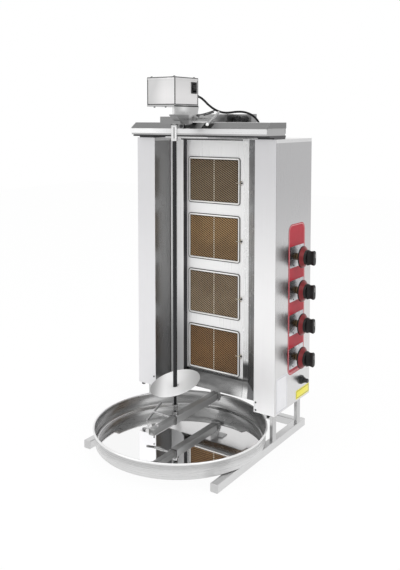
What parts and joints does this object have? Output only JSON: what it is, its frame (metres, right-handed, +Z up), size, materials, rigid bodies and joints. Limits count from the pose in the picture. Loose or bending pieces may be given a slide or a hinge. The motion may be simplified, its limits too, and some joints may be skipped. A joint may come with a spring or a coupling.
{
  "type": "doner kebab grill",
  "caption": "Upright gas grill with an open front, a motor-turned spit on two sliding arms, a round drip pan and gas taps on the side.",
  "frame": {"origin": "on the floor, under the middle of the whole grill", "axes": "+Z up, -Y to the front where the meat turns, +X to the control side with the knobs"},
  "size_m": [0.597, 0.668, 1.145],
  "materials": {
    "casing_steel": "brushed",
    "wall_steel": "smooth rolled",
    "tube_steel": "satin",
    "dark_steel": "dark satin",
    "box_steel": "brushed",
    "pan_steel": "polished",
    "spit_steel": "turned",
    "disc_steel": "satin",
    "burner_body_steel": "heat stained",
    "burner_mesh_steel": "heat stained wire",
    "burner_ceramic": "fired",
    "gas_brass": "machined",
    "gas_steel": "satin",
    "motor_iron": "as cast",
    "black_plastic": "matt",
    "knob_plastic": "two-colour, red skirt and black grip",
    "cable_rubber": "matt",
    "strip_red": "printed film",
    "label_aluminium": "satin"
  },
  "bodies": {
    "frame": {"apron": "wall_steel", "arm_bar": "tube_steel", "arm_socket": "tube_steel", "back_panel": "casing_steel", "bottom_plate": "casing_steel", "burner_bodies": "burner_body_steel", "burner_grilles": "burner_mesh_steel", "burner_panel": "wall_steel", "burner_tiles": "burner_ceramic", "cabinet_legs": "tube_steel", "canopy_base": "dark_steel", "canopy_box": "casing_steel", "canopy_cover": "casing_steel", "control_strip": "strip_red", "gas_inlet": "gas_brass", "gas_manifold": "gas_steel", "gas_pipes": "gas_steel", "gas_valves": "gas_brass", "igniter_body": "black_plastic", "label_plates": "label_aluminium", "left_casing": "casing_steel", "left_front_cover": "casing_steel", "left_rail": "tube_steel", "left_strip": "wall_steel", "motor_cable": "cable_rubber", "panel_gland": "black_plastic", "rail_end_caps": "tube_steel", "rear_bracket": "dark_steel", "rear_cross_tube": "tube_steel", "right_casing": "casing_steel", "right_cheek": "wall_steel", "right_front_cover": "casing_steel", "right_rail": "tube_steel", "screws": "spit_steel", "spark_electrodes": "burner_ceramic", "top_tube": "tube_steel"},
    "drip_pan": {"drip_pan": "pan_steel"},
    "carriage": {"motor_carriage": "box_steel", "motor_housing": "box_steel", "gear_motor": "motor_iron", "switch_frame": "black_plastic", "motor_gland": "black_plastic"},
    "spit": {"drive_sleeve": "spit_steel", "spit_shaft": "spit_steel"},
    "disc": {"spit_disc": "disc_steel"},
    "rocker": {"rocker_switch": "black_plastic"},
    "top_clamp": {"top_clamp_handle": "spit_steel"},
    "lower_slider": {"arm_slider": "tube_steel", "spit_bearing": "tube_steel"},
    "lower_clamp": {"slider_clamp_handle": "spit_steel"},
    "igniter_push": {"igniter_button": "black_plastic"},
    "valve_1": {"valve_spindle_1": "gas_brass"},
    "knob_body_1": {"knob_1": "knob_plastic"},
    "valve_2": {"valve_spindle_2": "gas_brass"},
    "knob_body_2": {"knob_2": "knob_plastic"},
    "valve_3": {"valve_spindle_3": "gas_brass"},
    "knob_body_3": {"knob_3": "knob_plastic"},
    "valve_4": {"valve_spindle_4": "gas_brass"},
    "knob_body_4": {"knob_4": "knob_plastic"}
  },
  "joints": [
    {"name": "drip_pan_turn", "type": "hinge", "parent": "frame", "child": "drip_pan", "pos_m": [-0.024, -0.063, 0.026], "axis": [0, 0, 1], "continuous": true},
    {"name": "carriage_slide", "type": "slide", "parent": "frame", "child": "carriage", "axis": [0, -1, 0], "range_m": [0, 0.05]},
    {"name": "lower_slider_slide", "type": "slide", "parent": "frame", "child": "lower_slider", "axis": [0, -1, 0], "range_m": [0, 0.05]},
    {"name": "spit_turn", "type": "hinge", "parent": "carriage", "child": "spit", "pos_m": [-0.0565, -0.0465, 0.6], "axis": [0, 0, 1], "continuous": true},
    {"name": "disc_lift", "type": "slide", "parent": "spit", "child": "disc", "axis": [0, 0, 1], "range_m": [0, 0.25]},
    {"name": "rocker_tip", "type": "hinge", "parent": "carriage", "child": "rocker", "pos_m": [-0.01825, -0.0098, 1.1145], "axis": [0, 1, 0], "range_deg": [0, 22]},
    {"name": "top_clamp_turn", "type": "hinge", "parent": "frame", "child": "top_clamp", "pos_m": [0.0565, -0.006, 1.02], "axis": [1, 0, 0], "range_deg": [0, 360]},
    {"name": "lower_clamp_turn", "type": "hinge", "parent": "lower_slider", "child": "lower_clamp", "pos_m": [-0.1385, -0.052, 0.078], "axis": [-1, 0, 0], "range_deg": [0, 360]},
    {"name": "igniter_press", "type": "slide", "parent": "frame", "child": "igniter_push", "axis": [-1, 0, 0], "range_m": [0, 0.005], "stiffness_N_per_m": 900, "springref_m": -0.008},
    {"name": "tap_1_turn", "type": "hinge", "parent": "frame", "child": "valve_1", "pos_m": [0.266, 0.212, 0.584], "axis": [1, 0, 0], "range_deg": [0, 180]},
    {"name": "knob_1_press", "type": "slide", "parent": "valve_1", "child": "knob_body_1", "axis": [-1, 0, 0], "range_m": [0, 0.004], "stiffness_N_per_m": 800, "springref_m": -0.008},
    {"name": "tap_2_turn", "type": "hinge", "parent": "frame", "child": "valve_2", "pos_m": [0.266, 0.212, 0.4755], "axis": [1, 0, 0], "range_deg": [0, 180]},
    {"name": "knob_2_press", "type": "slide", "parent": "valve_2", "child": "knob_body_2", "axis": [-1, 0, 0], "range_m": [0, 0.004], "stiffness_N_per_m": 800, "springref_m": -0.008},
    {"name": "tap_3_turn", "type": "hinge", "parent": "frame", "child": "valve_3", "pos_m": [0.266, 0.212, 0.367], "axis": [1, 0, 0], "range_deg": [0, 180]},
    {"name": "knob_3_press", "type": "slide", "parent": "valve_3", "child": "knob_body_3", "axis": [-1, 0, 0], "range_m": [0, 0.004], "stiffness_N_per_m": 800, "springref_m": -0.008},
    {"name": "tap_4_turn", "type": "hinge", "parent": "frame", "child": "valve_4", "pos_m": [0.266, 0.212, 0.2585], "axis": [1, 0, 0], "range_deg": [0, 180]},
    {"name": "knob_4_press", "type": "slide", "parent": "valve_4", "child": "knob_body_4", "axis": [-1, 0, 0], "range_m": [0, 0.004], "stiffness_N_per_m": 800, "springref_m": -0.008}
  ],
  "couplings": [
    {"joint": "lower_slider_slide", "follows": "carriage_slide", "ratio": 1}
  ]
}
